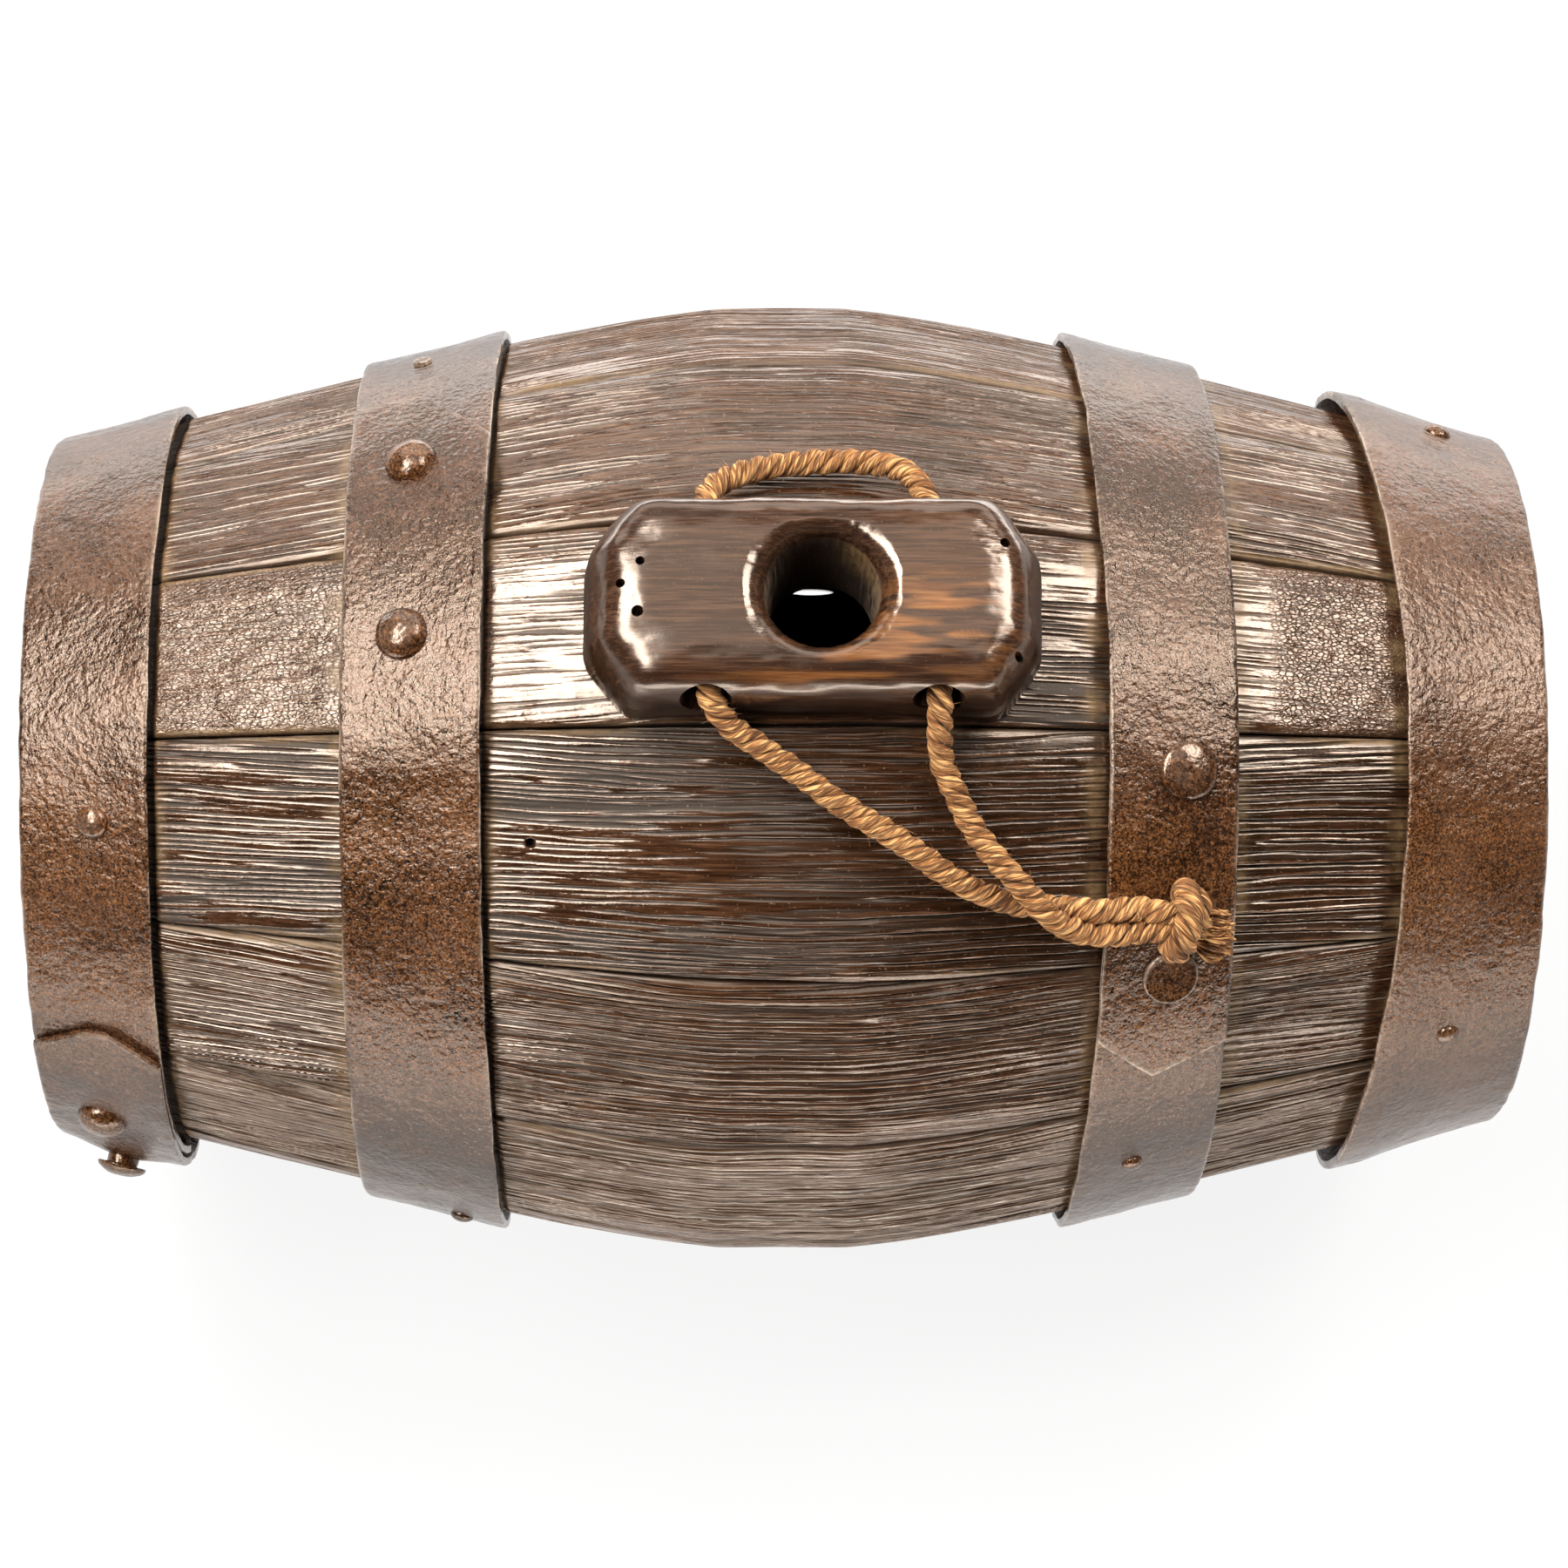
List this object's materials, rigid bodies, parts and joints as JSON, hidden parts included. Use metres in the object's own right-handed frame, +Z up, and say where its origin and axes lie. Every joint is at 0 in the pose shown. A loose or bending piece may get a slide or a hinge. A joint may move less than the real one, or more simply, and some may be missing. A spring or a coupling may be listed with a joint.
{
  "type": "rum keg",
  "caption": "Small bent-stave wooden keg with riveted iron strap hoops, a raised block around its open bung hole, and a knotted rope carrying loop. It lies on its side, bung up.",
  "frame": {"origin": "on the resting surface, under the middle of the keg, at the bottom centre of its box without the rope", "axes": "+X along the keg, +Z up through the bung hole, +Y to the back, away from the rope's legs"},
  "size_m": [0.3, 0.1978, 0.2118],
  "materials": {
    "stave_wood": "dark weathered oak with open grain and an old waxy varnish",
    "head_wood": "dark weathered oak, matt",
    "dowel_wood": "bare oak",
    "hoop_iron": "forged strap iron, rust brown, pitted and waxed",
    "rivet_iron": "forged iron, rust brown, worn bright on top",
    "rope_fibre": "three-strand jute, golden tan, hairy and soiled"
  },
  "bodies": {
    "keg": {"bung_stave": "stave_wood", "stave_front_1": "stave_wood", "stave_front_2": "stave_wood", "stave_front_3": "stave_wood", "stave_front_4": "stave_wood", "stave_front_5": "stave_wood", "stave_front_6": "stave_wood", "stave_bottom": "stave_wood", "stave_back_1": "stave_wood", "stave_back_2": "stave_wood", "stave_back_3": "stave_wood", "stave_back_4": "stave_wood", "stave_back_5": "stave_wood", "stave_back_6": "stave_wood", "head_left_board_front": "head_wood", "head_left_board_back": "head_wood", "head_left_dowel_lower": "dowel_wood", "head_left_dowel_upper": "dowel_wood", "head_right_board_front": "head_wood", "head_right_board_back": "head_wood", "head_right_dowel_lower": "dowel_wood", "head_right_dowel_upper": "dowel_wood", "hoop_left_end": "hoop_iron", "hoop_left_quarter": "hoop_iron", "hoop_right_quarter": "hoop_iron", "hoop_right_end": "hoop_iron", "rivet_left_end_1": "rivet_iron", "rivet_left_end_2": "rivet_iron", "rivet_left_quarter_1": "rivet_iron", "rivet_left_quarter_2": "rivet_iron", "rivet_right_quarter_1": "rivet_iron", "rivet_right_quarter_2": "rivet_iron", "rivet_right_end_1": "rivet_iron", "rivet_right_end_2": "rivet_iron", "nail_left_end_1": "rivet_iron", "nail_left_quarter_1": "rivet_iron", "nail_left_quarter_2": "rivet_iron", "nail_right_quarter_1": "rivet_iron", "nail_right_end_1": "rivet_iron", "nail_right_end_2": "rivet_iron", "rope_arch": "rope_fibre"},
    "rope_loop": {"rope_leg_left": "rope_fibre", "rope_leg_right": "rope_fibre", "rope_knot": "rope_fibre"}
  },
  "joints": [
    {"name": "rope_loop_lift", "type": "hinge", "parent": "keg", "child": "rope_loop", "pos_m": [0.00935, -0.0246, 0.19983], "axis": [-1, 0, 0], "range_deg": [0, 105]}
  ]
}
